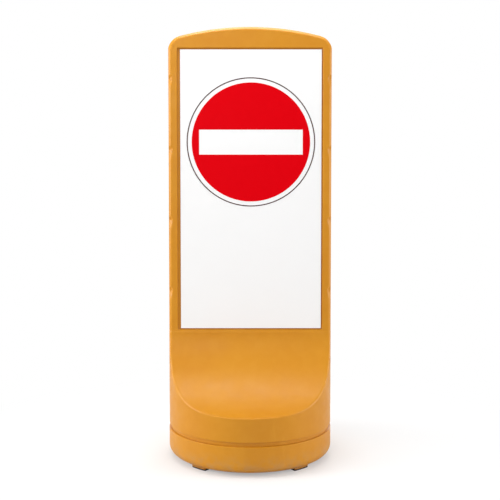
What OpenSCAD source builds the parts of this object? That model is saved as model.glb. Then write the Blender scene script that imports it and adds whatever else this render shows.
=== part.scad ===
// Free-standing two-sided sign: a hollow moulded body on a round ballast base,
// with a board, its tapes and its films in a pocket on each side.
// Origin: on the floor under the middle of the base. Front of the sign faces -Y.

/* [Overall] */
// Height from the floor to the top of the arch
sign_h = 1196; // [1000:10:1400]
// Width of the upright, which is also the diameter of the base wall
body_w = 457; // [420:1:500]
// Thickness of the upright slab
slab_t = 70; // [56:1:90]
// Wall of the hollow moulded body
wall = 3; // [2:0.5:4]
// Radius of the arched top
arch_r = 780; // [700:10:1200]
// Radius of the two top corners
corner_r = 45; // [25:1:50]
// Rounding of the long edges of the upright
edge_r = 9; // [6:0.5:12]

/* [Base] */
// Height of the feet, from the floor to the underside of the base
foot_h = 8; // [6:0.5:14]
// Rounding of the bottom edge of the base
bottom_r = 24; // [16:1:28]
// Height of the middle of the groove round the base
groove_z = 86; // [84:1:110]
// Height of the groove
groove_h = 12; // [8:1:16]
// Depth of the groove
groove_depth = 5; // [3:0.5:6]
// How far the band below the groove stands out past the wall above it
band_step = 0.6; // [0.2:0.1:2]
// Height of the lip where each slide meets the base wall
lip_z = 155; // [145:1:190]
// Height of each slide, from its lip up to the flat of the upright
slide_h = 193; // [180:1:205]
// Bow of a slide in side view: 2 is a round hollow, less is flatter
slide_bow = 1.75; // [1.6:0.05:2]
// Step at the top of each slide, where it leaves the upright
slide_step = 0.5; // [0.3:0.1:1]

/* [Feet] */
// Direction of each foot from the front or back, seen from above
foot_angle = 41; // [35:1:50]
// Arc that each foot takes up
foot_span = 14; // [12:1:28]
// Radial width of a foot
foot_w = 34; // [20:1:40]
// Distance from the base wall to the outer edge of a foot
foot_in = 18; // [14:1:30]
// Thickness of the rubber pad under a foot
pad_t = 3; // [2:0.5:4]
// Border that a foot leaves round its pad
pad_border = 1.5; // [1:0.5:4]

/* [Sign boards] */
// Border of the upright at each side of the board pocket
side_border = 26; // [22:1:40]
// Distance from the top of the arch down to the board pocket
top_border = 59.5; // [56:0.5:90]
// Distance from the top of the slide up to the board pocket
low_border = 6; // [4:1:20]
// Depth of the board pocket
pocket_depth = 5; // [4:0.5:8]
// Gap between a board and the side of its pocket
board_gap = 6.5; // [4:0.5:10]
// Gap between a board and the top or bottom of its pocket
board_end_gap = 4; // [2:0.5:8]
// How far a board sits to the right of the middle of its pocket
board_shift = 2.5; // [0:0.5:3.5]
// Thickness of a board
board_t = 2; // [1:0.5:2.5]
// Thickness of the foam tape behind a board
tape_t = 1; // [0.5:0.1:1.5]
// Width of a foam tape
tape_w = 25; // [15:1:35]
// Distance from the edge of a board to its tapes
tape_in = 12; // [8:1:30]
// Thickness of a cut film
film_t = 0.3; // [0.2:0.05:0.5]

/* [Symbol] */
// Distance from the side edge of a board to the outline ring
ring_margin = 17.5; // [10:0.5:30]
// Distance from the top edge of a board to the outline ring
ring_drop = 76.5; // [40:0.5:120]
// Line width of the outline ring
ring_line = 2.8; // [2:0.1:6]
// White space between the outline ring and the disc
ring_space = 11.2; // [6:0.2:20]
// Height of the bar across the disc
bar_h = 69; // [50:0.5:90]
// Distance from the edge of the disc to the end of the bar
bar_in = 20.5; // [12:0.5:30]

/* [Dimples] */
// Radius of the round dimples along the edges of the upright
dimple_r = 11; // [9:0.5:16]
// Height of the lowest dimples
dimple_z = 269; // [240:1:290]
// Distance from the top of the arch down to the highest dimples
dimple_drop = 143; // [120:1:180]
// Number of dimples along each edge
dimple_count = 5; // [3:1:7]
// How far outside the edge the middle of a dimple lies
dimple_out = 1.5; // [0.5:0.5:4]

/* [Filler] */
// Distance from the base wall in to the middle of the filler
filler_in = 50.5; // [47:0.5:56]
// Height of the flat seat that the filler stands on
seat_z = 166; // [164:1:170]
// Radius of the seat
seat_r = 42; // [40:1:44]
// Radius of the flange of the neck
flange_r = 37; // [35:0.5:38]
// Thickness of the flange of the neck
flange_t = 4; // [3:0.5:5]
// Inner radius of the neck
neck_bore_r = 19; // [15:0.5:20]
// Wall of the neck above its flange
neck_wall = 6; // [4:0.5:7]
// Height of the neck above its flange
neck_h = 17; // [14:0.5:22]
// Wall of the spigot that passes down through the body
spigot_wall = 3.5; // [2:0.5:4]
// Length of the spigot below the seat
spigot_l = 14; // [10:0.5:18]
// Gap between the spigot and its hole in the body
spigot_gap = 0.2; // [0.1:0.1:0.5]
// Thickness of the gasket in the cap
gasket_t = 2.5; // [1.5:0.5:4]
// Wall of the skirt of the cap
cap_wall = 4; // [3:0.5:5]
// Thickness of the top of the cap
cap_top_t = 4; // [3:0.5:6]
// Gap between the neck and the skirt of the cap
cap_gap = 0.4; // [0.3:0.1:0.8]
// Gap between the flange of the neck and the skirt of the cap
cap_lift_gap = 1; // [0.5:0.1:2]
// Radius of a grip rib on the cap
grip_r = 1.5; // [1:0.1:2]
// Number of grip ribs round the cap
grip_count = 24; // [16:1:32]
// Width of the bar across the top of the cap
cap_bar_w = 8; // [5:0.5:12]
// Height of the bar across the top of the cap
cap_bar_h = 7; // [4:0.5:10]

/* [Drain] */
// Height of the middle of the drain
drain_z = 56; // [54:0.5:57]
// Radius of the round pocket round the drain
drain_pocket_r = 22; // [20:0.5:23]
// Depth of the drain pocket, from the base wall
drain_pocket_depth = 24; // [22:0.5:30]
// Inner radius of the bush
bush_bore_r = 10; // [8:0.5:11]
// Wall of the bush
bush_wall = 3; // [2:0.5:4]
// Radius of the flange of the bush
bush_flange_r = 18; // [16:0.5:19]
// Thickness of the flange of the bush
bush_flange_t = 3; // [2:0.5:4]
// Length of the bush behind the pocket floor
bush_l = 16; // [12:0.5:22]
// Gap between the bush and its hole in the body
bush_gap = 0.2; // [0.1:0.1:0.4]
// Thickness of the seal under the head of the plug
seal_t = 2; // [1:0.5:3]
// Radial width of the seal
seal_w = 4.5; // [3:0.5:5]
// Radius of the head of the plug
plug_head_r = 16; // [14.5:0.5:17]
// Thickness of the head of the plug
plug_head_t = 8; // [6:0.5:9]
// Length of the shank of the plug
plug_shank_l = 15; // [11:0.5:20]
// Running gap between the shank and the bush
plug_gap = 0.05; // [0.02:0.01:0.1]
// Width of the slot across the head of the plug
slot_w = 3; // [2:0.5:4]
// Depth of the slot across the head of the plug
slot_depth = 3.5; // [2:0.5:4]

/* [Hidden] */

// One overrun serves every cut
over = 2;
round_fn = 96;
small_fn = 48;
edge_steps = 4;
arch_steps = 24;
corner_steps = 6;
bottom_steps = 8;
slide_steps = 24;

body_color = "#E0922A";
board_color = "#FCFCFC";
film_red = "#E60012";
film_dark = "#4A3028";
tape_color = "#8C9097";
rubber_color = "#26262A";
cap_color = "#2A2A2C";
bush_color = "#B8924A";

// Base wall, band and slide
wall_r = body_w / 2;
band_r = wall_r + band_step;
slab_half = slab_t / 2;
slide_top = lip_z + slide_h;
slide_in_y = slab_half + slide_step;
slide_run = wall_r - slide_in_y;
slide_power = 2 / slide_bow;
groove_slope = groove_depth / 4;

// Where the flat front of the upright meets the round wall
lip_end_x = sqrt(wall_r * wall_r - slab_half * slab_half);

// Arch and corner centres of the upright
arch_z = sign_h - arch_r;
corner_x = wall_r - corner_r;
corner_z = arch_z + sqrt(pow(arch_r - corner_r, 2) - corner_x * corner_x);
corner_tilt = atan2(corner_x, corner_z - arch_z);

// Board pocket and board
pocket_w = body_w - 2 * side_border;
pocket_low = slide_top + low_border;
pocket_high = sign_h - top_border;
board_w = pocket_w - 2 * board_gap;
board_low = pocket_low + board_end_gap;
board_high = pocket_high - board_end_gap;
board_h = board_high - board_low;
board_mid_z = (board_high + board_low) / 2;
floor_y = slab_half - pocket_depth;
tape_front_y = floor_y + tape_t;
board_front_y = tape_front_y + board_t;

// Symbol
ring_r = board_w / 2 - ring_margin;
disc_r = ring_r - ring_line - ring_space;
bar_w = 2 * (disc_r - bar_in);
symbol_z = board_high - ring_drop - ring_r;

// Dimples
dimple_turn = 30;
dimple_pitch = (sign_h - dimple_drop - dimple_z) / (dimple_count - 1);

// Feet
foot_out_r = wall_r - foot_in;
foot_in_r = foot_out_r - foot_w;

// Filler stack, from the seat up
filler_y = wall_r - filler_in;
flange_top = seat_z + flange_t;
neck_r = neck_bore_r + neck_wall;
neck_top = flange_top + neck_h;
spigot_r = neck_bore_r + spigot_wall;
cap_bore_r = neck_r + cap_gap;
cap_r = cap_bore_r + cap_wall;
cap_low = flange_top + cap_lift_gap;
cap_inside_z = neck_top + gasket_t;
cap_high = cap_inside_z + cap_top_t;

// Drain stack, from the pocket floor out
drain_floor_y = wall_r - drain_pocket_depth;
bush_face_y = drain_floor_y + bush_flange_t;
bush_r = bush_bore_r + bush_wall;
seal_face_y = bush_face_y + seal_t;
plug_r = bush_bore_r - plug_gap;
plug_end_y = seal_face_y + plug_head_t;

// Outline of the upright in X and Z, drawn in by inset, from its foot at low
function arch_points(inset, low) = concat(
    [[-wall_r + inset, low], [wall_r - inset, low]],
    [for (i = [0 : corner_steps])
        let (a = i / corner_steps * (90 - corner_tilt))
        [corner_x + (corner_r - inset) * cos(a), corner_z + (corner_r - inset) * sin(a)]],
    [for (i = [1 : arch_steps - 1])
        let (a = corner_tilt * (1 - 2 * i / arch_steps))
        [(arch_r - inset) * sin(a), arch_z + (arch_r - inset) * cos(a)]],
    [for (i = [0 : corner_steps])
        let (a = (1 - i / corner_steps) * (90 - corner_tilt))
        [-corner_x - (corner_r - inset) * cos(a), corner_z + (corner_r - inset) * sin(a)]]
);

// Outline of the base wall in radius and height, drawn in by inset
function wall_points(inset) = concat(
    [[0, foot_h + inset]],
    [for (i = [0 : bottom_steps])
        let (a = 90 * i / bottom_steps)
        [band_r - bottom_r + (bottom_r - inset) * sin(a),
         foot_h + bottom_r - (bottom_r - inset) * cos(a)]],
    [[band_r - inset, groove_z - groove_h / 2 - inset],
     [wall_r - groove_depth - inset, groove_z - groove_h / 2 + groove_slope - inset],
     [wall_r - groove_depth - inset, groove_z + groove_h / 2 - groove_slope + inset],
     [wall_r - inset, groove_z + groove_h / 2 + inset],
     [wall_r - inset, sign_h + over],
     [0, sign_h + over]]
);

// The slide runs straight across, and its lip is where it meets the round wall.
// In side view it goes from upright to level along a quarter of a drawn-out oval.
function slide_y(a) = wall_r - slide_run * pow(cos(a), slide_power);
function slide_z(a) = slide_top - slide_h * pow(sin(a), slide_power);

// Direction from the slide into the body, as Y and Z
function slide_in(a) =
    let (dy = slide_h * pow(cos(a), 2 - slide_power), dz = slide_run * pow(sin(a), 2 - slide_power))
    -[dy, dz] / norm([dy, dz]);

// Side view of the space above a slide, let out by grow
function slide_points(grow) = concat(
    [[wall_r + over, slide_top + over], [slide_y(0) - grow, slide_top + over]],
    [for (i = [0 : slide_steps])
        let (a = 90 * i / slide_steps)
        [slide_y(a), slide_z(a)] + grow * slide_in(a)],
    [[wall_r + over, lip_z - grow]]
);

// Turns its children to the back of the sign as well
module front_and_rear() {
    children();
    rotate([0, 0, 180]) children();
}

// A prism along Y from an outline in X and Z
module y_prism(points, depth) {
    rotate([90, 0, 0]) linear_extrude(height = depth, center = true) polygon(points);
}

// A rod along Y from y0 to y1
module y_rod(r, y0, y1, fn = round_fn) {
    translate([0, y1, 0]) rotate([90, 0, 0]) cylinder(r = r, h = y1 - y0, $fn = fn);
}

// The upright slab with its long edges rounded, drawn in by inset
module upright(inset) {
    round_r = edge_r - inset;
    hull() {
        for (i = [0 : edge_steps]) {
            a = 90 * i / edge_steps;
            y_prism(
                arch_points(inset + round_r * (1 - cos(a)), lip_z),
                slab_t - 2 * inset - 2 * round_r * (1 - sin(a))
            );
        }
    }
}

// The space above a slide, let out by grow
module slide_space(grow) {
    translate([-wall_r - over, 0, 0]) rotate([90, 0, 90])
        linear_extrude(height = body_w + 2 * over) polygon(slide_points(grow));
}

// The pocket for a board, let out by grow
module board_pocket(grow) {
    translate([-pocket_w / 2 - grow, -slab_half - over, pocket_low - grow])
        cube([pocket_w + 2 * grow, pocket_depth + over + grow, pocket_high - pocket_low + 2 * grow]);
}

// The dimples along the two front edges, let out by grow
module dimples(grow) {
    for (side = [-1, 1], i = [0 : dimple_count - 1])
        translate([side * (lip_end_x + dimple_out), -slab_half - dimple_out, dimple_z + i * dimple_pitch])
            rotate([0, 0, side * dimple_turn]) sphere(r = dimple_r + grow, $fn = small_fn);
}

// The whole outer form, drawn in by inset, with its cuts let out by the same
module body_form(inset) {
    difference() {
        intersection() {
            rotate_extrude($fn = 2 * round_fn) polygon(wall_points(inset));
            union() {
                translate([-body_w, -body_w, 0]) cube([2 * body_w, 2 * body_w, slide_top - inset]);
                upright(inset);
            }
        }
        front_and_rear() {
            rotate([0, 0, 180]) slide_space(inset);
            board_pocket(inset);
            dimples(inset);
        }
    }
}

// The room above the filler seat, let out by grow
module seat_room(grow) {
    translate([0, filler_y, seat_z - grow])
        cylinder(r = seat_r + grow, h = slide_h, $fn = round_fn);
}

// The pocket round the drain, let out by grow
module drain_pocket(grow) {
    translate([0, 0, drain_z])
        y_rod(drain_pocket_r + grow, drain_floor_y - grow, band_r + over);
}

// A foot or pad: an arc under the base, drawn in by border
module foot_arc(turn, z0, z1, border) {
    border_angle = border / foot_out_r * 180 / PI;
    rotate([0, 0, turn - foot_span / 2 + border_angle])
        rotate_extrude(angle = foot_span - 2 * border_angle, $fn = round_fn)
            translate([foot_in_r + border, z0])
                square([foot_w - 2 * border, z1 - z0]);
}

foot_turns = [-90 - foot_angle, -90 + foot_angle, 90 + foot_angle, 90 - foot_angle];

module body_shell() {
    color(body_color) difference() {
        union() {
            body_form(0);
            translate([0, filler_y, lip_z - wall])
                cylinder(r = seat_r, h = seat_z - lip_z + wall, $fn = round_fn);
            for (turn = foot_turns) foot_arc(turn, pad_t, foot_h + wall, 0);
        }
        difference() {
            body_form(wall);
            seat_room(wall);
            drain_pocket(wall);
        }
        seat_room(0);
        drain_pocket(0);
        translate([0, filler_y, lip_z - spigot_l])
            cylinder(r = spigot_r + spigot_gap, h = spigot_l + seat_r, $fn = round_fn);
        translate([0, 0, drain_z])
            y_rod(bush_r + bush_gap, drain_floor_y - wall - over, drain_floor_y + over);
    }
}

// Board and films, drawn for the front
module board() {
    color(board_color)
        translate([board_shift - board_w / 2, -board_front_y, board_low])
            cube([board_w, board_t, board_h]);
}

module symbol_film(outer_r, inner_r) {
    translate([board_shift, 0, symbol_z]) rotate([0, 0, 180]) difference() {
        y_rod(outer_r, board_front_y, board_front_y + film_t, 2 * round_fn);
        if (inner_r > 0)
            y_rod(inner_r, board_front_y - over, board_front_y + film_t + over, 2 * round_fn);
    }
}

module disc_film() {
    color(film_red) difference() {
        symbol_film(disc_r, 0);
        translate([board_shift - bar_w / 2, -board_front_y - film_t - over, symbol_z - bar_h / 2])
            cube([bar_w, film_t + 2 * over, bar_h]);
    }
}

module ring_film() {
    color(film_dark) symbol_film(ring_r, ring_r - ring_line);
}

// Foam tapes behind a board, drawn for the front
module side_tape(side) {
    color(tape_color)
        translate([board_shift + side * (board_w / 2 - tape_in - tape_w / 2) - tape_w / 2,
                   -tape_front_y, board_low + tape_in])
            cube([tape_w, tape_t, board_h - 2 * tape_in]);
}

module end_tape(side) {
    tape_l = board_w - 4 * tape_in - 2 * tape_w;
    color(tape_color)
        translate([board_shift - tape_l / 2, -tape_front_y,
                   board_mid_z + side * (board_h / 2 - tape_in - tape_w / 2) - tape_w / 2])
            cube([tape_l, tape_t, tape_w]);
}

module foot_pad(i) {
    color(rubber_color) foot_arc(foot_turns[i], 0, pad_t, pad_border);
}

// Filler
module filler_neck() {
    color(body_color) translate([0, filler_y, 0]) difference() {
        union() {
            translate([0, 0, seat_z]) cylinder(r = flange_r, h = flange_t, $fn = round_fn);
            translate([0, 0, seat_z]) cylinder(r = neck_r, h = neck_top - seat_z, $fn = round_fn);
            translate([0, 0, seat_z - spigot_l]) cylinder(r = spigot_r, h = spigot_l + flange_t, $fn = round_fn);
        }
        translate([0, 0, seat_z - spigot_l - over])
            cylinder(r = neck_bore_r, h = neck_top - seat_z + spigot_l + 2 * over, $fn = round_fn);
    }
}

module filler_gasket() {
    color(rubber_color) translate([0, filler_y, neck_top]) difference() {
        cylinder(r = neck_r, h = gasket_t, $fn = round_fn);
        translate([0, 0, -over]) cylinder(r = neck_bore_r, h = gasket_t + 2 * over, $fn = round_fn);
    }
}

module filler_cap() {
    color(cap_color) translate([0, filler_y, 0]) {
        difference() {
            union() {
                translate([0, 0, cap_low]) cylinder(r = cap_r, h = cap_high - cap_low, $fn = round_fn);
                for (i = [0 : grip_count - 1])
                    rotate([0, 0, 360 * i / grip_count]) translate([cap_r, 0, cap_low])
                        cylinder(r = grip_r, h = cap_high - cap_low, $fn = small_fn / 2);
                translate([-cap_r, -cap_bar_w / 2, cap_inside_z])
                    cube([2 * cap_r, cap_bar_w, cap_top_t + cap_bar_h]);
            }
            translate([0, 0, cap_low - over])
                cylinder(r = cap_bore_r, h = cap_inside_z - cap_low + over, $fn = round_fn);
        }
    }
}

// Drain
module drain_bush() {
    color(bush_color) translate([0, 0, drain_z]) difference() {
        union() {
            y_rod(bush_flange_r, drain_floor_y, bush_face_y);
            y_rod(bush_r, drain_floor_y - bush_l, bush_face_y);
        }
        y_rod(bush_bore_r, drain_floor_y - bush_l - over, bush_face_y + over);
    }
}

module drain_seal() {
    color(rubber_color) translate([0, 0, drain_z]) difference() {
        y_rod(bush_bore_r + seal_w, bush_face_y, seal_face_y);
        y_rod(bush_bore_r, bush_face_y - over, seal_face_y + over);
    }
}

module drain_plug() {
    color(cap_color) translate([0, 0, drain_z]) difference() {
        union() {
            y_rod(plug_head_r, seal_face_y, plug_end_y);
            y_rod(plug_r, seal_face_y - plug_shank_l, seal_face_y + plug_head_t / 2);
        }
        translate([-plug_head_r - over, plug_end_y - slot_depth, -slot_w / 2])
            cube([2 * plug_head_r + 2 * over, slot_depth + over, slot_w]);
    }
}

module rear() {
    rotate([0, 0, 180]) children();
}

body_shell();
board();  // front_board
rear() board();  // rear_board
disc_film();  // front_disc_film
rear() disc_film();  // rear_disc_film
ring_film();  // front_ring_film
rear() ring_film();  // rear_ring_film
side_tape(-1);  // front_tape_left
side_tape(1);  // front_tape_right
end_tape(1);  // front_tape_top
end_tape(-1);  // front_tape_bottom
rear() side_tape(-1);  // rear_tape_left
rear() side_tape(1);  // rear_tape_right
rear() end_tape(1);  // rear_tape_top
rear() end_tape(-1);  // rear_tape_bottom
foot_pad(0);  // foot_pad_front_left
foot_pad(1);  // foot_pad_front_right
foot_pad(2);  // foot_pad_rear_left
foot_pad(3);  // foot_pad_rear_right
filler_neck();
filler_gasket();
filler_cap();
drain_bush();
drain_seal();
drain_plug();
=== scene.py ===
"""Freestanding sign: hollow moulded upright on a round ballast base, a board on each side."""
import math
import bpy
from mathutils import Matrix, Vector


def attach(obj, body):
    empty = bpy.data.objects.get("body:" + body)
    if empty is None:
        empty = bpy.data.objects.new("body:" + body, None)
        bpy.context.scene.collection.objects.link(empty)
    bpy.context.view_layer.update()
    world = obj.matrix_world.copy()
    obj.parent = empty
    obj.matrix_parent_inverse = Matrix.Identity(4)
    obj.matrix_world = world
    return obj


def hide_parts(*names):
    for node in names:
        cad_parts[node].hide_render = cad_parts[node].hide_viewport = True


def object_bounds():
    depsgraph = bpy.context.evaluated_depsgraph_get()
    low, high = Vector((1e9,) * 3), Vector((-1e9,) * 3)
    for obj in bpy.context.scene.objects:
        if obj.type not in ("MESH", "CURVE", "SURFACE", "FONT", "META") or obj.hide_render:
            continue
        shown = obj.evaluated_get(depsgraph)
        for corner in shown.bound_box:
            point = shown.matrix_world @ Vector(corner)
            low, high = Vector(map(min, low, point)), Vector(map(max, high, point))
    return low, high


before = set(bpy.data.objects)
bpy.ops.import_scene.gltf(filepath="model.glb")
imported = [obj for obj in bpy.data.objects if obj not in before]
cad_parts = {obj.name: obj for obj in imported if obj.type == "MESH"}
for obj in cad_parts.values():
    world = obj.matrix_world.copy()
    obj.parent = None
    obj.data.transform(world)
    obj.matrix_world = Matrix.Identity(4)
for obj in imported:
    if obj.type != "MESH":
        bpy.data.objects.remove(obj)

from types import SimpleNamespace

import bmesh
import bpy
import numpy as np
from bpy.props import FloatProperty, FloatVectorProperty, IntProperty, PointerProperty
from mathutils import Vector, kdtree

CAD_BOX = [list(corner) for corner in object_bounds()]

bl_info = {
    "name": "Freestanding Sign",
    "version": (1, 0, 0),
    "blender": (4, 5, 0),
    "location": "3D View > Sidebar > Sign",
    "description": "Dresses the packed frame of a two-sided floor sign",
    "category": "Object",
}

MM = 0.001
STAND = "stand"
SIDES = ("front", "rear")

# Widths over which the creases of the body are rounded
SLAB_CREASE = 2 * MM
SLIDE_CREASE = 1 * MM
LIP_FADE = 6 * MM                  # the lip gets this much softer up the upright
LIP_FADE_FROM, LIP_FADE_TO = 0.29, 0.35
SEAT_EDGE, SEAT_FILL, SEAT_CUT = 1.5 * MM, 3 * MM, 2.5 * MM
POCKET_CORNER, POCKET_FLOOR, POCKET_EDGE = 4 * MM, 1.0 * MM, 1.6 * MM
DIMPLE_EDGE = 1.8 * MM

# How the body's mesh is laid out
HALVINGS = 24                      # of a ray, to find the skin
RAY_REACH = 0.27
MAP_CELL = 1 * MM                  # of the distance map of a slide
MAP_Y, MAP_Z, MAP_TOP = 0.280, 0.100, 0.420

# The camera of the photograph, fitted to its picture
PICTURE_PX, FOCAL_PX, SENSOR_MM = 500.0, 725.0, 36.0
CAMERA_PLACE = (0.0, -2.058, 0.661)
CAMERA_PITCH = 2.36                # degrees below level

# Name, place, side and power of each soft lamp, and what they all face
LAMPS = (
    ("front_lamp", (-0.8, -2.9, 1.65), 1.4, 12),
    ("top_lamp", (-0.9, -0.50, 2.7), 0.9, 6),
    ("crest_lamp", (-0.05, -0.06, 1.95), 0.9, 13),
    ("left_lamp", (-3.2, -0.7, 1.4), 1.4, 70),
    ("right_lamp", (3.2, -0.6, 1.1), 1.4, 50),
    ("rear_lamp", (0.8, 2.9, 1.8), 1.4, 24),
)
LAMP_AIM = (0.0, 0.0, 0.60)
WORLD_LIGHT = 0.53


# ---------------------------------------------------------------- sizes and colours

def length(name, description, default):
    """A length that the sidebar shows in the scene's unit."""
    return FloatProperty(name=name, description=description, default=default,
                         min=0.0, subtype="DISTANCE", unit="LENGTH")


def colour(name, description, default):
    """A colour in scene-linear values."""
    return FloatVectorProperty(name=name, description=description, default=default,
                               size=3, min=0.0, max=1.0, subtype="COLOR")


class SignBodySizes(bpy.types.PropertyGroup):
    """Sizes of the moulded body"""
    height: length("Height", "Floor to the top of the arch", CAD_BOX[1][2])
    band_diameter: length("Band diameter", "Across the band below the groove",
                          CAD_BOX[1][0] - CAD_BOX[0][0])
    band_step: length("Band step", "How far the band stands out past the wall", 0.6 * MM)
    slab: length("Slab thickness", "Thickness of the upright", 70 * MM)
    arch_radius: length("Arch radius", "Radius of the arched top", 780 * MM)
    corner_radius: length("Corner radius", "Radius of the two top corners", 45 * MM)
    edge_bevel: length("Edge bevel", "Bevel along the long edges", 8 * MM)
    lip_height: length("Lip height", "Where a slide meets the base wall", 155 * MM)
    lip_rounding: length("Lip rounding", "Rounding of the lip round a slide", 4 * MM)
    slide_height: length("Slide height", "From the lip up to the flat of the upright", 193 * MM)
    slide_bow: FloatProperty(name="Slide bow", description="2 is a round hollow, less is flatter",
                             default=1.75, min=1.2, max=2.5)
    slide_step: length("Slide step", "Crease where a slide leaves the upright", 0.5 * MM)
    groove_height: length("Groove middle", "Height of the middle of the groove", 86 * MM)
    groove_width: length("Groove width", "Width of the groove", 12 * MM)
    groove_depth: length("Groove depth", "Depth of the groove", 5 * MM)
    bottom_rounding: length("Bottom rounding", "Rounding of the bottom edge", 24 * MM)
    foot_height: length("Foot height", "Floor to the underside of the base", 8 * MM)
    dimple_radius: length("Dimple radius", "Radius of the dimples along the edges", 11 * MM)
    dimple_first: length("First dimple", "Height of the lowest dimples", 269 * MM)
    dimple_pitch: length("Dimple pitch", "Distance between two dimples", 196 * MM)
    dimple_out: length("Dimple offset", "How far outside the edge a dimple is centred", 1.5 * MM)
    dimple_count: IntProperty(name="Dimples", description="Dimples along each edge",
                              default=5, min=0, max=8)
    pocket_border: length("Pocket border", "Border at each side of a board pocket", 26 * MM)
    pocket_low: length("Pocket bottom", "Height of the lower edge of a pocket", 354 * MM)
    pocket_high: length("Pocket top", "Height of the upper edge of a pocket", 1136.5 * MM)
    pocket_depth: length("Pocket depth", "Depth of a board pocket", 5 * MM)
    seam: length("Parting line", "Height of the parting line of the mould", 0.3 * MM)


class SignFittingSizes(bpy.types.PropertyGroup):
    """Places of the filler, the drain and the feet"""
    filler_out: length("Filler distance", "Middle of the base to the filler", 178 * MM)
    seat_height: length("Seat height", "Height of the seat of the filler", 166 * MM)
    seat_radius: length("Seat radius", "Radius of the seat of the filler", 42 * MM)
    spigot_hole: length("Spigot hole", "Radius of the hole for the spigot", 22.7 * MM)
    drain_height: length("Drain height", "Height of the middle of the drain", 56 * MM)
    drain_pocket: length("Drain pocket", "Radius of the pocket round the drain", 22 * MM)
    drain_floor: length("Drain floor", "Middle of the base to the pocket floor", 204.5 * MM)
    bush_hole: length("Bush hole", "Radius of the hole for the bush", 13.2 * MM)
    foot_outer: length("Foot outer radius", "Outer radius of a foot", 210.5 * MM)
    foot_inner: length("Foot inner radius", "Inner radius of a foot", 176.5 * MM)
    pad_height: length("Pad thickness", "Thickness of the rubber pad", 3 * MM)
    foot_angle: FloatProperty(name="Foot direction", description="From the front or back",
                              default=math.radians(41), subtype="ANGLE", unit="ROTATION")
    foot_span: FloatProperty(name="Foot span", description="Arc that a foot takes up",
                             default=math.radians(14), subtype="ANGLE", unit="ROTATION")


class SignColours(bpy.types.PropertyGroup):
    """Colours of the finishes"""
    body: colour("Body", "Moulded polyethylene", (0.600, 0.242, 0.002))
    # Paler body tone: random mottling and scuffs, and along convex edges also a painted highlight
    body_pale: colour("Body, rubbed", "Rubbed and chalked polyethylene", (0.68, 0.312, 0.022))
    body_deep: colour("Body, deep", "Deeper tone in the moulding", (0.575, 0.222, 0.002))
    # Painted shade colour: an AO mask darkens the body's recesses, gaps and inner corners towards
    # it, where shade falls
    painted_recess_shade: colour("Grime", "Dirt gathered in recesses", (0.34, 0.095, 0.002))
    dust: colour("Dust", "Dust low on the base", (0.36, 0.26, 0.15))
    board: colour("Board", "White sheet", (0.90, 0.90, 0.90))
    film_red: colour("Disc film", "Red film", (0.70, 0.0, 0.004))
    film_dark: colour("Ring film", "Dark outline film", (0.055, 0.010, 0.008))
    foam: colour("Foam tape", "Grey foam tape", (0.23, 0.25, 0.27))
    rubber: colour("Rubber", "Pads and seals", (0.018, 0.018, 0.019))
    cap: colour("Cap", "Black moulded caps", (0.026, 0.026, 0.028))
    brass: colour("Brass", "Drain bush", (0.62, 0.42, 0.17))


# ---------------------------------------------------------------- shape of the body

def body_numbers(context):
    """Sizes of the body with what follows from them."""
    p, f = context.scene.sign_body, context.scene.sign_fittings
    n = SimpleNamespace(**{k: getattr(p, k) for k in p.__annotations__})
    for k in f.__annotations__:
        setattr(n, k, getattr(f, k))
    n.band_r = n.band_diameter / 2
    n.wall_r = n.band_r - n.band_step
    n.half = n.slab / 2
    n.slide_top = n.lip_height + n.slide_height
    n.slide_run = n.wall_r - n.half - n.slide_step
    n.lip_end = math.sqrt(n.wall_r ** 2 - n.half ** 2)
    n.arch_z = n.height - n.arch_radius
    n.corner_x = n.wall_r - n.corner_radius
    n.corner_z = n.arch_z + math.sqrt((n.arch_radius - n.corner_radius) ** 2 - n.corner_x ** 2)
    n.corner_tilt = math.atan2(n.corner_x, n.corner_z - n.arch_z)
    n.pocket_x = n.wall_r - n.pocket_border
    n.dimples = [n.dimple_first + i * n.dimple_pitch for i in range(n.dimple_count)]
    n.slide_map = slide_map(n)
    return n


def slide_map(n):
    """Distance to a slide in side view, on a grid: below the slide it is above zero."""
    turn = np.radians(np.linspace(0.0, 90.0, 8001))
    out = n.wall_r - n.slide_run * np.maximum(np.cos(turn), 0.0) ** (2 / n.slide_bow)
    up = n.slide_top - n.slide_height * np.sin(turn) ** (2 / n.slide_bow)
    ends = np.linspace(0.0, 0.1, 2501)[1:]
    line_y = np.concatenate([np.full(2500, out[0]), out, out[-1] + ends])
    line_z = np.concatenate([up[0] + ends[::-1], up, np.full(2500, up[-1])])
    line = kdtree.KDTree(len(line_y))
    for i, place in enumerate(zip(line_y.tolist(), line_z.tolist())):
        line.insert((*place, 0.0), i)
    line.balance()
    ys, zs = np.arange(0.0, MAP_Y, MAP_CELL), np.arange(MAP_Z, MAP_TOP, MAP_CELL)
    near = np.array([[line.find((y, z, 0.0))[2] for z in zs] for y in ys])
    wall = np.interp(zs, line_z[::-1], line_y[::-1])
    room = (ys[:, None] > wall[None, :]) & (zs[None, :] > up[-1])
    return np.where(room, -near, near)


def soft_max(a, b, blend):
    """The larger distance, with the crease between the two rounded over blend."""
    near = np.maximum(blend - np.abs(a - b), 0.0) / blend
    return np.maximum(a, b) + near * near * blend * 0.25


def soft_min(a, b, blend):
    """The smaller distance, with the crease between the two filled over blend."""
    return -soft_max(-a, -b, blend)


def ease(low, high, value):
    """0 below low, 1 above high, smooth between."""
    t = np.clip((value - low) / (high - low), 0.0, 1.0)
    return t * t * (3 - 2 * t)


def slab_distance(n, x, y, z):
    """Distance to the upright: arched outline, rounded corners and long edges."""
    outline = np.maximum(np.abs(x) - n.wall_r, np.hypot(x, z - n.arch_z) - n.arch_radius)
    side, up = np.abs(x) - n.corner_x, z - n.corner_z
    turn = np.arctan2(side, up)
    corner = (turn > n.corner_tilt) & (turn < math.pi / 2) & (side > 0)
    outline = np.where(corner, np.hypot(side, up) - n.corner_radius, outline)
    face = np.abs(y) - n.half
    bevel = (outline + face + n.edge_bevel) / math.sqrt(2)
    return soft_max(np.maximum(outline, face), bevel, SLAB_CREASE)


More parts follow.
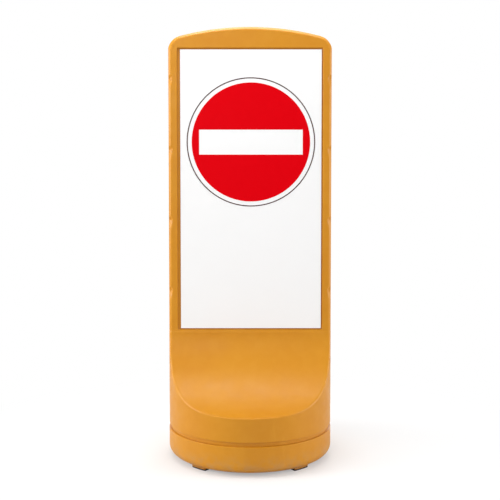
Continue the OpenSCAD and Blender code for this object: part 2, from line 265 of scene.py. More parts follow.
def slide_distance(n, y, z):
    """Distance to the slide at -Y, read from its map; above zero in the body."""
    a = np.clip(-y / MAP_CELL, 0.0, n.slide_map.shape[0] - 1.001)
    b = np.clip((z - MAP_Z) / MAP_CELL, 0.0, n.slide_map.shape[1] - 1.001)
    i, j = a.astype(int), b.astype(int)
    a, b = a - i, b - j
    low = n.slide_map[i, j] * (1 - b) + n.slide_map[i, j + 1] * b
    high = n.slide_map[i + 1, j] * (1 - b) + n.slide_map[i + 1, j + 1] * b
    return low * (1 - a) + high * a


def body_distance(n, point, rear):
    """Distance to the body's outer skin, seen from its own side at -Y."""
    x, y, z = point[..., 0], point[..., 1], point[..., 2]
    round_wall = np.hypot(x, y) - n.wall_r
    lip = n.lip_rounding + LIP_FADE * ease(LIP_FADE_FROM, LIP_FADE_TO, z)
    base = soft_max(round_wall, -slide_distance(n, y, z), lip)
    base = soft_max(base, z - n.slide_top, SLIDE_CREASE)
    skin = soft_min(base, np.maximum(slab_distance(n, x, y, z), round_wall), SLIDE_CREASE)
    if rear:
        around = np.hypot(x, y + n.filler_out) - n.seat_radius
        skin = soft_min(skin, soft_max(around, z - n.seat_height, SEAT_EDGE), SEAT_FILL)
        skin = soft_max(skin, -soft_max(around, n.seat_height - z, SEAT_EDGE), SEAT_CUT)
    middle = (n.pocket_low + n.pocket_high) / 2
    tall = (n.pocket_high - n.pocket_low) / 2
    pocket = soft_max(np.abs(x) - n.pocket_x, np.abs(z - middle) - tall, POCKET_CORNER)
    pocket = soft_max(pocket, y + n.half - n.pocket_depth, POCKET_FLOOR)
    skin = soft_max(skin, -pocket, POCKET_EDGE)
    for height in n.dimples:
        ball = np.sqrt((np.abs(x) - n.lip_end - n.dimple_out) ** 2
                       + (y + n.half + n.dimple_out) ** 2 + (z - height) ** 2)
        skin = soft_max(skin, n.dimple_radius - ball, DIMPLE_EDGE)
    return skin


def reach_skin(n, start, way, rear):
    """Where rays that start inside the body meet its skin."""
    low, high = np.zeros(start.shape[:-1]), np.full(start.shape[:-1], RAY_REACH)
    for _ in range(HALVINGS):
        mid = (low + high) / 2
        inside = body_distance(n, start + way * mid[..., None], rear) < 0
        low, high = np.where(inside, mid, low), np.where(inside, high, mid)
    return start + way * ((low + high) / 2)[..., None]


def walk(low, high, step, fixed):
    """Places from low to high at a varying step, kept clear of the fixed ones."""
    clear_share = 0.45
    places, at = [], low
    while at < high:
        places.append(at)
        at += step(at)
    fixed = sorted(set(fixed) | {low, high})
    kept = [p for p in places if min(abs(p - f) for f in fixed) > clear_share * step(p)]
    return np.array(sorted(kept + fixed))


def column_places(n, inset):
    """Where the upright's columns run in X: close along the lips and the pocket edge."""
    corner = n.corner_radius - inset
    turns = [math.radians(a) for a in (38, 46, 54, 62, 70, 78, 84, 90)]
    edge = [n.corner_x + corner * math.sin(t) for t in turns]
    wall = [n.pocket_x + d * MM for d in (-2.2, -1.1, -0.5, -0.15, 0.15, 0.5, 1.1, 2.0)]
    seat = [n.seat_radius + d * MM for d in (-2.4, -1.3, -0.5, 0.6, 2.2)]
    wide, close = 4 * MM, 2.4 * MM
    middle_end, seat_from, seat_to = 0.085, 0.036, 0.046

    def step(x):
        return wide if x < middle_end and not seat_from < x < seat_to else close

    half = walk(0.0, edge[-1], step, edge + wall + seat)
    return np.concatenate([-half[:0:-1], half])


def row_places(n, low, high):
    """Where rows run in height: close in the slides, at the dimples and pocket edges."""
    at_dimple, at_lip, on_slide, on_flat = 1.25 * MM, 0.16 * MM, 2.3 * MM, 13 * MM
    lip_zone, lip_growth_share = 15 * MM, 0.14

    def step(z):
        if any(abs(z - d) < n.dimple_radius + 1.5 * MM for d in n.dimples):
            return at_dimple
        if z < n.pocket_low:
            off_lip = abs(z - n.lip_height)
            return at_lip + lip_growth_share * off_lip if off_lip < lip_zone else on_slide
        return on_flat

    fixed = [n.pocket_low + d * MM for d in (-2.0, -1.1, -0.5, -0.15, 0.15, 0.5, 1.1)]
    fixed += [n.pocket_high + d * MM for d in (-1.1, -0.5, -0.15, 0.15, 0.5, 1.1, 2.0)]
    fixed += [n.seat_height + d * MM for d in (-2.2, -1.2, -0.6, -0.12, 0.12, 0.6, 1.2, 2.2)]
    fixed += [n.slide_top + d * MM for d in (-0.9, -0.3, 0.3, 0.9)]
    return walk(low, high, step, fixed)


def rounded_profile(corners, steps=6):
    """A line through corners (radius, height, rounding), with each corner rounded."""
    line = [corners[0][:2]]
    for before, here, after in zip(corners, corners[1:], corners[2:]):
        p = np.array(here[:2])
        a, b = np.array(before[:2]) - p, np.array(after[:2]) - p
        a, b = a / np.linalg.norm(a), b / np.linalg.norm(b)
        half = math.acos(max(-1.0, min(1.0, float(a @ b)))) / 2
        out = here[2] / math.tan(half)
        middle = p + (a + b) / np.linalg.norm(a + b) * here[2] / math.sin(half)
        first, last = p + a * out - middle, p + b * out - middle
        sweep = math.pi - 2 * half
        for i in range(steps + 1):
            t = i / steps
            ray = first * math.sin((1 - t) * sweep) + last * math.sin(t * sweep)
            line.append(tuple(middle + ray / np.linalg.norm(ray) * here[2]))
    line.append(corners[-1][:2])
    return line


def base_profile(n, top):
    """Radius and height down the base wall, over the groove and under the base."""
    g, h = n.groove_height, n.groove_width / 2
    slope = n.groove_depth / 4
    floor_r = n.wall_r - n.groove_depth
    upper = rounded_profile([
        (n.wall_r, top, 0), (n.wall_r, g + h, 1.3 * MM),
        (floor_r, g + h - slope, 1.0 * MM), (floor_r, g - h + slope, 1.0 * MM),
        (n.band_r, g - h, 1.5 * MM), (n.band_r, g - h - 3 * MM, 0)], steps=5)
    lower = rounded_profile([
        (n.band_r, n.foot_height + n.bottom_rounding + 0.5 * MM, 0),
        (n.band_r, n.foot_height, n.bottom_rounding),
        (0.150, n.foot_height, 0)], steps=12)
    between = [(n.wall_r, z) for z in np.arange(top - 6 * MM, g + h + 4 * MM, -6 * MM)]
    band = [(n.band_r, z) for z in np.linspace(g - h - 8 * MM, n.foot_height
                                               + n.bottom_rounding + 5 * MM, 6)]
    under = [(r, n.foot_height) for r in (0.120, 0.080, 0.040, 0.010)]
    return [upper[0]] + between + upper[1:] + band + lower + under


def body_half(n, rear):
    """Vertices and faces of the half of the body at -Y, as the front or the rear."""
    inset, reach_y = 15 * MM, -20 * MM
    fan, strip = 20, [-15 * MM, -10 * MM, -5 * MM, -1.3 * MM, -0.6 * MM, 0.0]
    low_row = 146 * MM
    xs = column_places(n, inset)
    zs = row_places(n, low_row, n.pocket_high + 3.3 * MM)
    side = n.corner_x + (n.corner_radius - inset)

    def edge_height(x):
        """Height and outward direction of the outline, drawn in by the inset."""
        x0 = n.corner_x + (n.corner_radius - inset) * math.sin(n.corner_tilt)
        if abs(x) <= x0:
            r = n.arch_radius - inset
            z = n.arch_z + math.sqrt(r * r - x * x)
            return z, (x / r, (z - n.arch_z) / r)
        r, out = n.corner_radius - inset, min(abs(x) - n.corner_x, n.corner_radius - inset)
        z = n.corner_z + math.sqrt(max(r * r - out * out, 0.0))
        return z, (math.copysign(out / r, x), (z - n.corner_z) / r)

    top_share = (0.12, 0.25, 0.4, 0.55, 0.7, 0.85, 1.0)
    tops = [edge_height(x) for x in xs]
    crest = np.array([t[0] for t in tops])
    last = np.minimum(zs[-1], crest - 5 * MM)                      # rows bend down at the corners
    bend = zs[-1] - 60 * MM
    heights = [np.where(z > bend, bend + (z - bend) * (last - bend) / (zs[-1] - bend), z)
               for z in zs]
    heights += [last + (crest - last) * s for s in top_share]
    heights = np.array(heights)                                    # rows x columns

    def fan_rays(x, z, out):
        """Rays from the front round the edge to the middle of its side."""
        starts, ways = [], []
        for k in range(1, fan + 1):
            a = math.pi / 2 * k / fan
            starts.append((x, reach_y, z))
            ways.append((out[0] * math.sin(a), -math.cos(a), out[1] * math.sin(a)))
        for y in strip:
            starts.append((x, y, z))
            ways.append((out[0], 0.0, out[1]))
        return starts, ways

    starts, ways = [], []
    rows = len(heights)
    for j in range(rows):
        left = fan_rays(-side, heights[j][0], (-1.0, 0.0))
        right = fan_rays(side, heights[j][-1], (1.0, 0.0))
        starts += left[0][::-1] + [(x, reach_y, z) for x, z in zip(xs, heights[j])] + right[0]
        ways += left[1][::-1] + [(0.0, -1.0, 0.0)] * len(xs) + right[1]
    across = len(xs) + 2 * (fan + len(strip))
    for i in range(1, len(xs) - 1):
        s, w = fan_rays(xs[i], tops[i][0], tops[i][1])
        starts += s
        ways += w
    skin = reach_skin(n, np.array(starts), np.array(ways), rear)
    main = skin[:rows * across].reshape(rows, across, 3)
    crown = skin[rows * across:].reshape(len(xs) - 2, fan + len(strip), 3)

    # The parting line of the mould stands up a little along the middle
    main[:, 0, 0] -= n.seam
    main[:, -1, 0] += n.seam
    crown[:, -1, 2] = np.minimum(crown[:, -1, 2] + n.seam, n.height)

    # The base wall, groove and underside turn with the directions of the lowest row
    ring = main[0]
    turn = ring[:, :2] / np.linalg.norm(ring[:, :2], axis=1)[:, None]
    profile = base_profile(n, low_row)[1:]
    wall = np.array([[(r * c, r * s, z) for c, s in turn] for r, z in profile])
    seam = n.seam * (np.array([p[1] for p in profile]) > n.groove_height + n.groove_width)
    wall[:, 0, 0] -= seam
    wall[:, -1, 0] += seam
    grid = np.concatenate([wall[::-1], main])                      # from the underside up
    verts = list(map(tuple, grid.reshape(-1, 3)))
    faces = []
    under = len(verts)
    verts.append((0.0, 0.0, n.foot_height))
    first_col = fan + len(strip)

    def index(j, m):
        return j * across + m

    def column(x):
        return first_col + int(np.argmin(np.abs(xs - x)))

    skip = set()
    if rear:
        low = next(j for j in range(len(grid)) if grid[j, 0, 2] > n.foot_height + n.bottom_rounding)
        high = max(j for j in range(len(grid))
                   if grid[j, 0, 2] < n.groove_height - n.groove_width / 2 - 1.4 * MM)
        a, b = column(-n.drain_pocket - 4 * MM), column(n.drain_pocket + 4 * MM)
        skip |= {(j, m) for j in range(low, high) for m in range(a, b)}
        loop = ([index(low, m) for m in range(a, b)] + [index(j, b) for j in range(low, high)]
                + [index(high, m) for m in range(b, a, -1)]
                + [index(j, a) for j in range(high, low, -1)])
        drain_rings(n, verts, faces, loop)
        step = next(j for j in range(len(grid)) if grid[j, first_col, 2] > n.seat_height)
        a, b = column(-n.seat_radius - 2 * MM), column(n.seat_radius + 2 * MM)
        skip |= {(step - 1, m) for m in range(a, b)}
        loop = ([index(step - 1, m) for m in range(a, b + 1)]
                + [index(step, m) for m in range(b, a - 1, -1)])
        seat_rings(n, verts, faces, loop)
    for j in range(len(grid) - 1):
        faces += [(index(j, m), index(j, m + 1), index(j + 1, m + 1), index(j + 1, m))
                  for m in range(across - 1) if (j, m) not in skip]
    faces += [(index(0, m + 1), index(0, m), under) for m in range(across - 1)]

    # The crown closes the top between the two corner fans
    top_row, steps = len(grid) - 1, fan + len(strip)
    crown_at = len(verts)
    verts += list(map(tuple, crown.reshape(-1, 3)))

    def crown_index(i, k):
        if k == 0:
            return index(top_row, first_col + i)
        if i == 0:
            return index(top_row, first_col - k)
        if i == len(xs) - 1:
            return index(top_row, first_col + i + k)
        return crown_at + (i - 1) * steps + k - 1

    faces += [(crown_index(i, k), crown_index(i + 1, k),
               crown_index(i + 1, k + 1), crown_index(i, k + 1))
              for i in range(len(xs) - 1) for k in range(steps)]
    verts = np.array(verts)
    if rear:
        verts = verts * np.array((-1.0, -1.0, 1.0))
    return verts, faces


def add_ring(verts, faces, outer, points):
    """Joins a loop of vertices to a new loop of as many points."""
    first = len(verts)
    verts += [tuple(p) for p in points]
    inner = list(range(first, first + len(points)))
    count = len(outer)
    faces += [(outer[i], outer[(i + 1) % count], inner[(i + 1) % count], inner[i])
              for i in range(count)]
    return inner


def close_ring(verts, faces, loop):
    """Closes a loop with a fan round its middle."""
    verts.append(tuple(np.mean([verts[i] for i in loop], axis=0)))
    middle, count = len(verts) - 1, len(loop)
    faces += [(loop[i], loop[(i + 1) % count], middle) for i in range(count)]


def drain_rings(n, verts, faces, loop):
    """The round pocket for the drain, sunk into the wall at -Y."""
    turns = [math.atan2(verts[i][2] - n.drain_height, verts[i][0]) for i in loop]
    mouth = n.drain_pocket + 0.3 * MM
    steps = [(mouth, 0.0, False), (mouth - 0.35 * MM, 0.12 * MM, False),
             (mouth - 0.65 * MM, 0.5 * MM, False), (mouth - 0.8 * MM, 1.3 * MM, False),
             (mouth - 0.9 * MM, 2.2 * MM, True), (mouth - 1.1 * MM, 0.9 * MM, True),
             (mouth - 1.8 * MM, 0.2 * MM, True), (mouth - 3.0 * MM, 0.0, True),
             (n.bush_hole + 0.4 * MM, 0.0, True), (n.bush_hole, -0.4 * MM, True),
             (n.bush_hole, -6 * MM, True)]
    for radius, depth, from_floor in steps:
        points = []
        for t in turns:
            x, z = radius * math.cos(t), n.drain_height + radius * math.sin(t)
            y = n.drain_floor + depth if from_floor else math.sqrt(n.band_r ** 2 - x * x) - depth
            points.append((x, -y, z))
        loop = add_ring(verts, faces, loop, points)
    close_ring(verts, faces, loop)


def seat_rings(n, verts, faces, loop):
    """The flat seat of the filler, with the hole for its spigot."""
    turns = [math.atan2(verts[i][1] + n.filler_out, verts[i][0]) for i in loop]
    hole = n.spigot_hole
    for radius, z in ((hole + 6 * MM, n.seat_height), (hole + 0.5 * MM, n.seat_height),
                      (hole, n.seat_height - 0.5 * MM), (hole, n.seat_height - 60 * MM)):
        loop = add_ring(verts, faces, loop, [
            (radius * math.cos(t), radius * math.sin(t) - n.filler_out, z) for t in turns])
    close_ring(verts, faces, loop)


def mesh_piece(name, verts, faces, sharp=None, weld=None):
    """A smooth-shaded mesh object with its faces turned outwards."""
    mesh = bpy.data.meshes.new(name)
    mesh.from_pydata([tuple(v) for v in verts], [], faces)
    work = bmesh.new()
    work.from_mesh(mesh)
    if weld:
        bmesh.ops.remove_doubles(work, verts=work.verts, dist=weld)
    bmesh.ops.recalc_face_normals(work, faces=work.faces)
    work.to_mesh(mesh)
    work.free()
    mesh.shade_smooth()
    if sharp:
        mesh.set_sharp_from_angle(angle=math.radians(sharp))
    piece = bpy.data.objects.new(name, mesh)
    bpy.context.scene.collection.objects.link(piece)
    return piece


def foot_lug(n, turn, name):
    """One moulded foot: an arc-shaped lump with rounded edges under the base rim."""
    low, high = n.pad_height, n.foot_height + 4 * MM
    along, verts, faces = 22, [], []
    rim = rounded_profile([
        (n.foot_inner + 10 * MM, high, 0), (n.foot_inner, high, 0.5 * MM),
        (n.foot_inner, low, 2.2 * MM), (n.foot_outer, low, 2.2 * MM),
        (n.foot_outer, high, 0.5 * MM), (n.foot_outer - 10 * MM, high, 0)], steps=5)
    middle = (n.foot_inner + n.foot_outer) / 2
    for i in range(along + 1):
        t = -math.cos(math.pi * i / along)
        draw = math.sqrt(max(0.0, 1 - abs(t) ** 18))
        a = turn + t * n.foot_span / 2
        for r, z in rim:
            rr = middle + (r - middle) * (0.86 + 0.14 * draw)
            zz = high + (z - high) * (0.55 + 0.45 * draw)
            verts.append((rr * math.cos(a), rr * math.sin(a), zz))
    wide = len(rim)
    for i in range(along):
        for k in range(wide):
            a, b = i * wide + k, i * wide + (k + 1) % wide
            faces.append((a, b, b + wide, a + wide))
    faces.append(tuple(range(wide)))
    faces.append(tuple(range(along * wide, (along + 1) * wide)))
    return mesh_piece(name, verts, faces, sharp=50)


# ---------------------------------------------------------------- finishes

class Finish:
    """A node material that is put together one node at a time."""

    def __init__(self, name):
        self.material = bpy.data.materials.new("finish_" + name)
        self.material.use_nodes = True
        self.nodes = self.material.node_tree.nodes
        self.links = self.material.node_tree.links
        self.shader = self.nodes["Principled BSDF"]
        self.place = self.add("ShaderNodeTexCoord").outputs["Object"]

    def add(self, kind, **settings):
        made = self.nodes.new(kind)
        for key, value in settings.items():
            setattr(made, key, value)
        return made

    def feed(self, node, **values):
        """Sets or links the inputs of a node by name, with _ for a space."""
        for key, value in values.items():
            socket = node.inputs[key.replace("_", " ")]
            if hasattr(value, "is_output"):
                self.links.new(value, socket)
            else:
                socket.default_value = value
        return node

    def noise(self, scale, detail=2.0, rough=0.5, stretch=None):
        place = self.place
        if stretch:
            mapping = self.add("ShaderNodeMapping")
            mapping.inputs["Scale"].default_value = stretch
            self.links.new(self.place, mapping.inputs["Vector"])
            place = mapping.outputs["Vector"]
        made = self.feed(self.add("ShaderNodeTexNoise"), Vector=place, Scale=scale,
                         Detail=detail, Roughness=rough)
        return made.outputs["Fac"]

    def span(self, value, low, high, out_low=0.0, out_high=1.0):
        made = self.add("ShaderNodeMapRange", clamp=True)
        made.interpolation_type = "SMOOTHSTEP"
        self.feed(made, Value=value, From_Min=low, From_Max=high, To_Min=out_low, To_Max=out_high)
        return made.outputs["Result"]

    def sum(self, kind, a, b):
        made = self.add("ShaderNodeMath", operation=kind)
        for socket, value in zip(made.inputs, (a, b)):
            if hasattr(value, "is_output"):
                self.links.new(value, socket)
            else:
                socket.default_value = value
        return made.outputs[0]

    def mix(self, share, a, b, blend="MIX"):
        made = self.add("ShaderNodeMix", data_type="RGBA", blend_type=blend)
        for socket, value in ((made.inputs[0], share), (made.inputs[6], a), (made.inputs[7], b)):
            if hasattr(value, "is_output"):
                self.links.new(value, socket)
            elif isinstance(value, (int, float)):
                socket.default_value = value
            else:
                socket.default_value = (*value, 1.0)
        return made.outputs[2]

    def bump(self, height, strength, distance, under=None):
        made = self.feed(self.add("ShaderNodeBump"), Height=height, Strength=strength,
                         Distance=distance)
        if under is not None:
            self.links.new(under, made.inputs["Normal"])
        return made.outputs["Normal"]

    def height(self):
        """Height above the floor, from the object's own coordinates."""
        split = self.feed(self.add("ShaderNodeSeparateXYZ"), Vector=self.place)
        return split.outputs["Z"]


def moulded_body(c):
    """Amber moulded polyethylene: fine grain, slow mottling, edges lightened as wear and as a
    painted highlight, painted shade in recesses, dust low down.
    """
    f = Finish("body_plastic")
    slow = f.span(f.noise(5.0, 3.0), 0.3, 0.7)
    cloudy = f.span(f.noise(38.0, 4.0), 0.35, 0.7)
    tone = f.mix(slow, tuple(c.body), tuple(c.body_deep))
    tone = f.mix(f.sum("MULTIPLY", cloudy, 0.16), tone, tuple(c.body_pale))
    # Convex edges are lightened from pointiness: partly wear, partly a painted highlight along the
    # lips and edges
    edge = f.add("ShaderNodeNewGeometry").outputs["Pointiness"]
    edge_wear_and_highlight = f.sum("MULTIPLY", f.span(edge, 0.505, 0.56), f.span(f.noise(60.0, 4.0), 0.35, 0.65))
    tone = f.mix(f.sum("MULTIPLY", edge_wear_and_highlight, 0.5), tone, tuple(c.body_pale))
    scuff = f.span(f.noise(26.0, 5.0, 0.65, stretch=(1.0, 1.0, 0.22)), 0.60, 0.74)
    scuff = f.sum("MULTIPLY", scuff, f.span(f.height(), 0.02, 0.34, 0.30, 0.05))
    tone = f.mix(scuff, tone, tuple(c.body_pale))
    low = f.sum("MULTIPLY", f.span(f.height(), 0.0, 0.07, 0.42, 0.0),
                f.span(f.noise(45.0, 4.0), 0.3, 0.7))
    tone = f.mix(low, tone, tuple(c.dust))
    # Painted shade: an AO mask darkens recesses, the gaps round the boards and inner corners
    shut = f.add("ShaderNodeAmbientOcclusion", samples=6)
    shut.inputs["Distance"].default_value = 14 * MM
    painted_recess_shade = f.span(shut.outputs["AO"], 0.80, 0.35, 0.0, 0.55)
    tone = f.mix(painted_recess_shade, tone, tuple(c.painted_recess_shade))
    rough = f.sum("ADD", f.span(f.noise(30.0, 3.0), 0.3, 0.7, 0.36, 0.46),
                  f.sum("MULTIPLY", scuff, 0.4))
    peel = f.bump(f.noise(150.0, 2.0), 0.16, 0.6 * MM)
    waves = f.bump(f.noise(9.0, 1.0), 0.20, 2.5 * MM, under=peel)
    grain = f.bump(f.noise(1700.0, 2.0), 0.16, 0.15 * MM, under=waves)
    f.feed(f.shader, Base_Color=tone, Roughness=rough, Normal=grain, IOR=1.5,
           Specular_IOR_Level=0.36)
    return f.material


def white_sheet(c):
    """Satin white sheet with a faint haze and wipe marks."""
    f = Finish("board_white")
    haze = f.span(f.noise(12.0, 4.0), 0.35, 0.75)
    tone = f.mix(f.sum("MULTIPLY", haze, 0.05), tuple(c.board), (0.80, 0.81, 0.82))
    wipes = f.noise(40.0, 3.0, 0.6, stretch=(0.25, 1.0, 1.0))
    rough = f.span(wipes, 0.3, 0.7, 0.36, 0.46)
    grain = f.bump(f.noise(900.0, 1.0), 0.06, 0.08 * MM)
    f.feed(f.shader, Base_Color=tone, Roughness=rough, Normal=grain, IOR=1.47)
    return f.material


def cut_film(name, tint, rough):
    """Coloured cut film: a slight sheen and a fine surface texture."""
    f = Finish(name)
    uneven = f.span(f.noise(70.0, 3.0), 0.3, 0.7)
    paler = tuple(min(1.0, v * 1.12 + 0.004) for v in tint)
    tone = f.mix(f.sum("MULTIPLY", uneven, 0.08), tint, paler)
    gloss = f.span(f.noise(24.0, 3.0), 0.3, 0.7, rough - 0.04, rough + 0.05)
    grain = f.bump(f.noise(1400.0, 1.0), 0.07, 0.05 * MM)
    f.feed(f.shader, Base_Color=tone, Roughness=gloss, Normal=grain, IOR=1.46,
           Specular_IOR_Level=0.03)
    return f.material


def rubber(name, tint):
    """Dull rubber or foam with pores and pale dust."""
    f = Finish(name)
    dusty = f.span(f.noise(90.0, 4.0), 0.45, 0.75)
    tone = f.mix(f.sum("MULTIPLY", dusty, 0.25), tint, tuple(v * 0.6 + 0.10 for v in tint))
    pores = f.bump(f.noise(900.0, 3.0), 0.35, 0.25 * MM)
    f.feed(f.shader, Base_Color=tone, Normal=pores,
           Roughness=f.span(f.noise(140.0), 0.3, 0.7, 0.74, 0.88), IOR=1.5)
    return f.material


def black_cap(c):
    """Black moulded caps: spark-eroded texture and greyed edges."""
    f = Finish("cap_plastic")
    edge = f.add("ShaderNodeNewGeometry").outputs["Pointiness"]
    worn = f.sum("MULTIPLY", f.span(edge, 0.51, 0.60), f.span(f.noise(220.0, 4.0), 0.35, 0.6))
    tone = f.mix(f.sum("MULTIPLY", worn, 0.6), tuple(c.cap), (0.12, 0.12, 0.125))
    texture = f.bump(f.noise(1300.0, 2.0), 0.30, 0.12 * MM)
    f.feed(f.shader, Base_Color=tone, Normal=texture,
           Roughness=f.span(f.noise(160.0, 3.0), 0.3, 0.7, 0.40, 0.56), IOR=1.5)
    return f.material


def turned_brass(c):
    """Machined brass with turning marks round the axis of the drain."""
    f = Finish("bush_brass")
    tone = f.mix(f.span(f.noise(160.0, 4.0), 0.4, 0.75), tuple(c.brass), (0.36, 0.24, 0.11))
    shift = f.add("ShaderNodeMapping")
    shift.inputs["Location"].default_value = (0.0, 0.0, -56 * MM)
    f.links.new(f.place, shift.inputs["Vector"])
    rings = f.add("ShaderNodeTexWave", wave_type="RINGS", rings_direction="Y")
    f.feed(rings, Vector=shift.outputs["Vector"], Scale=900.0, Distortion=1.0, Detail=2.0)
    marks = f.bump(rings.outputs["Fac"], 0.12, 0.05 * MM)
    f.feed(f.shader, Base_Color=tone, Metallic=1.0, Normal=marks,
           Roughness=f.span(f.noise(220.0, 3.0), 0.3, 0.7, 0.26, 0.42))
    return f.material


def finish(name, context):
    """The named finish, made once and shared."""
    found = bpy.data.materials.get("finish_" + name)
    if found:
        return found
    c = context.scene.sign_colours
    makers = {
        "body_plastic": lambda: moulded_body(c),
        "board_white": lambda: white_sheet(c),
        "film_red": lambda: cut_film("film_red", tuple(c.film_red), 0.34),
        "film_dark": lambda: cut_film("film_dark", tuple(c.film_dark), 0.38),
        "tape_foam": lambda: rubber("tape_foam", tuple(c.foam)),
        "pad_rubber": lambda: rubber("pad_rubber", tuple(c.rubber)),
        "seal_rubber": lambda: rubber("seal_rubber", tuple(c.rubber)),
        "cap_plastic": lambda: black_cap(c),
        "bush_brass": lambda: turned_brass(c),
    }
    return makers[name]()


def dress_node(context, node, slot, bevel=0.0, sharp=30.0):
    """Gives a CAD node its finish, and breaks its edges with a bevel."""
    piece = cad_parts[node]
    piece.data.materials.clear()
    piece.data.materials.append(finish(slot, context))
    if bevel:
        edge = piece.modifiers.new("edge_break", "BEVEL")
        edge.width, edge.segments, edge.limit_method = bevel, 2, "ANGLE"
        edge.angle_limit = math.radians(sharp)
        edge.harden_normals = False
    return piece


def finish_piece(context, piece, slot):
    """Gives a new piece its finish and lets it ride on the stand."""
    piece.data.materials.clear()
    piece.data.materials.append(finish(slot, context))
    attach(piece, STAND)
    return piece


# ---------------------------------------------------------------- operators

class SIGN_OT_moulded_body(bpy.types.Operator):
    """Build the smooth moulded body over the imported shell"""
    bl_idname = "sign.moulded_body"
    bl_label = "Moulded body"

    def execute(self, context):
        n = body_numbers(context)
        front, front_faces = body_half(n, rear=False)
        rear, rear_faces = body_half(n, rear=True)
        verts = np.concatenate([front, rear])
        faces = front_faces + [tuple(i + len(front) for i in f) for f in rear_faces]
        body = mesh_piece("moulded_body", verts, faces, sharp=50, weld=0.02 * MM)
        finish_piece(context, body, "body_plastic")
        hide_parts("body_shell")
        return {"FINISHED"}


class SIGN_OT_base_feet(bpy.types.Operator):
    """Build the four moulded feet and dress their rubber pads"""
    bl_idname = "sign.base_feet"
    bl_label = "Feet and pads"

    def execute(self, context):
        n = body_numbers(context)
        quarter = math.pi / 2
        for end, middle in zip(SIDES, (-quarter, quarter)):
            for side, sign in (("left", -1), ("right", 1)):
                turn = middle + sign * n.foot_angle * (1 if end == "front" else -1)
                lug = foot_lug(n, turn, f"foot_lug_{end}_{side}")
                finish_piece(context, lug, "body_plastic")
                dress_node(context, f"foot_pad_{end}_{side}", "pad_rubber", 0.6 * MM)
        return {"FINISHED"}


class SIGN_OT_boards(bpy.types.Operator):
    """Dress the boards, their films and their foam tapes"""
    bl_idname = "sign.boards"
    bl_label = "Boards and films"

    def execute(self, context):
        for end in SIDES:
            dress_node(context, f"{end}_board", "board_white", 0.25 * MM)
            dress_node(context, f"{end}_disc_film", "film_red", 0.06 * MM)
            dress_node(context, f"{end}_ring_film", "film_dark", 0.06 * MM)
            for edge in ("left", "right", "top", "bottom"):
                dress_node(context, f"{end}_tape_{edge}", "tape_foam", 0.15 * MM)
        return {"FINISHED"}


class SIGN_OT_filler(bpy.types.Operator):
    """Dress the filler neck, its gasket and its cap"""
    bl_idname = "sign.filler"
    bl_label = "Filler"

    def execute(self, context):
        dress_node(context, "filler_neck", "body_plastic", 0.8 * MM)
        dress_node(context, "filler_gasket", "seal_rubber", 0.4 * MM)
        dress_node(context, "filler_cap", "cap_plastic", 0.5 * MM)
        return {"FINISHED"}


class SIGN_OT_drain(bpy.types.Operator):
    """Dress the drain bush, its seal and its plug"""
    bl_idname = "sign.drain"
    bl_label = "Drain"

    def execute(self, context):
        dress_node(context, "drain_bush", "bush_brass", 0.5 * MM)
        dress_node(context, "drain_seal", "seal_rubber", 0.3 * MM)
        dress_node(context, "drain_plug", "cap_plastic", 0.7 * MM)
        return {"FINISHED"}


class SIGN_OT_stage(bpy.types.Operator):
    """Set up the floor, the light, the white surroundings and the camera"""
    bl_idname = "sign.stage"
    bl_label = "Stage"

    def execute(self, context):
        scene = context.scene
        add_floor(scene)
        add_world(scene)
        for name, place, size, power in LAMPS:
            add_lamp(scene, name, place, LAMP_AIM, size, power)
        add_camera(scene)
        scene.view_settings.view_transform = "Standard"
        return {"FINISHED"}


def add_floor(scene):
    """A wide pale floor that shows white to the camera and keeps the shadow."""
    wide = 14.0
    mesh = bpy.data.meshes.new("floor")
    mesh.from_pydata([(-wide, -wide, 0), (wide, -wide, 0), (wide, wide, 0), (-wide, wide, 0)],
                     [], [(0, 1, 2, 3)])
    floor = bpy.data.objects.new("floor", mesh)
    scene.collection.objects.link(floor)
    f = Finish("floor_paper")
    seen = f.add("ShaderNodeLightPath").outputs["Is Camera Ray"]
    paper = f.mix(seen, (0.72, 0.72, 0.72), (0.88, 0.88, 0.88))
    f.feed(f.shader, Base_Color=paper, Roughness=0.9, Specular_IOR_Level=0.1)
    away = f.add("ShaderNodeVectorMath", operation="LENGTH")
    f.links.new(f.place, away.inputs[0])
    far = f.span(away.outputs["Value"], 0.18, 1.0, 0.35, 1.0)
    white = f.add("ShaderNodeEmission")
    blend = f.add("ShaderNodeMixShader")
    f.links.new(f.sum("MULTIPLY", seen, far), blend.inputs[0])
    f.links.new(f.shader.outputs[0], blend.inputs[1])
    f.links.new(white.outputs[0], blend.inputs[2])
    f.links.new(blend.outputs[0], f.nodes["Material Output"].inputs["Surface"])
    mesh.materials.append(f.material)


def add_world(scene):
    """Even light on the object, and white for the camera and for reflections."""
    world = bpy.data.worlds.new("white_room")
    scene.world = world
    world.use_nodes = True
    nodes, links = world.node_tree.nodes, world.node_tree.links
    nodes.clear()
    path = nodes.new("ShaderNodeLightPath")
    seen = nodes.new("ShaderNodeMath")
    seen.operation = "MAXIMUM"
    links.new(path.outputs["Is Camera Ray"], seen.inputs[0])
    links.new(path.outputs["Is Glossy Ray"], seen.inputs[1])
    shown = nodes.new("ShaderNodeMath")
    shown.operation = "MAXIMUM"
    links.new(seen.outputs[0], shown.inputs[0])
    links.new(path.outputs["Is Transmission Ray"], shown.inputs[1])
    even, white = nodes.new("ShaderNodeBackground"), nodes.new("ShaderNodeBackground")
    even.inputs["Color"].default_value = (1.0, 1.0, 1.0, 1.0)
    even.inputs["Strength"].default_value = WORLD_LIGHT
    white.inputs["Color"].default_value = (1.0, 1.0, 1.0, 1.0)
    white.inputs["Strength"].default_value = 1.0
    mix = nodes.new("ShaderNodeMixShader")
    links.new(shown.outputs[0], mix.inputs[0])
    links.new(even.outputs[0], mix.inputs[1])
    links.new(white.outputs[0], mix.inputs[2])
    out = nodes.new("ShaderNodeOutputWorld")
    links.new(mix.outputs[0], out.inputs["Surface"])


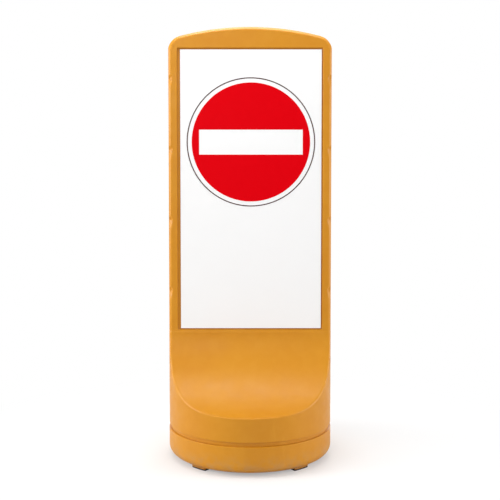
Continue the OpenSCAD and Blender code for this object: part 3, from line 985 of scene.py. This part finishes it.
def add_lamp(scene, name, place, aim, size, power):
    """A square soft lamp at place, turned towards aim."""
    light = bpy.data.lights.new(name, "AREA")
    light.shape, light.size, light.energy = "SQUARE", size, power
    lamp = bpy.data.objects.new(name, light)
    scene.collection.objects.link(lamp)
    lamp.location = place
    away = [a - p for a, p in zip(aim, place)]
    lamp.rotation_euler = Vector(away).to_track_quat("-Z", "Y").to_euler()


def add_camera(scene):
    """The camera at the viewing angle of the photograph."""
    view = bpy.data.cameras.new("view")
    view.sensor_width = SENSOR_MM
    view.lens = FOCAL_PX / PICTURE_PX * SENSOR_MM
    view.dof.use_dof = False
    camera = bpy.data.objects.new("view", view)
    scene.collection.objects.link(camera)
    camera.location = CAMERA_PLACE
    camera.rotation_euler = (math.radians(90 - CAMERA_PITCH), 0.0, 0.0)
    scene.camera = camera


class SIGN_PT_sidebar(bpy.types.Panel):
    """Lists the steps that dress the sign"""
    bl_label = "Freestanding sign"
    bl_idname = "SIGN_PT_sidebar"
    bl_space_type = "VIEW_3D"
    bl_region_type = "UI"
    bl_category = "Sign"

    def draw(self, context):
        for step in STEPS:
            self.layout.operator(step.bl_idname)
        for group in ("sign_body", "sign_fittings", "sign_colours"):
            settings = getattr(context.scene, group)
            box = self.layout.box()
            for key in settings.__annotations__:
                box.prop(settings, key)


STEPS = (SIGN_OT_moulded_body, SIGN_OT_base_feet, SIGN_OT_boards, SIGN_OT_filler,
         SIGN_OT_drain, SIGN_OT_stage)
GROUPS = (SignBodySizes, SignFittingSizes, SignColours)


def register():
    for item in GROUPS + STEPS + (SIGN_PT_sidebar,):
        bpy.utils.register_class(item)
    bpy.types.Scene.sign_body = PointerProperty(type=SignBodySizes)
    bpy.types.Scene.sign_fittings = PointerProperty(type=SignFittingSizes)
    bpy.types.Scene.sign_colours = PointerProperty(type=SignColours)


def unregister():
    del bpy.types.Scene.sign_colours
    del bpy.types.Scene.sign_fittings
    del bpy.types.Scene.sign_body
    for item in reversed(GROUPS + STEPS + (SIGN_PT_sidebar,)):
        bpy.utils.unregister_class(item)


def main():
    register()
    for step in STEPS:
        group, name = step.bl_idname.split(".")
        getattr(getattr(bpy.ops, group), name)()
    bpy.context.view_layer.update()
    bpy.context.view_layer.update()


if __name__ == "__main__":
    main()
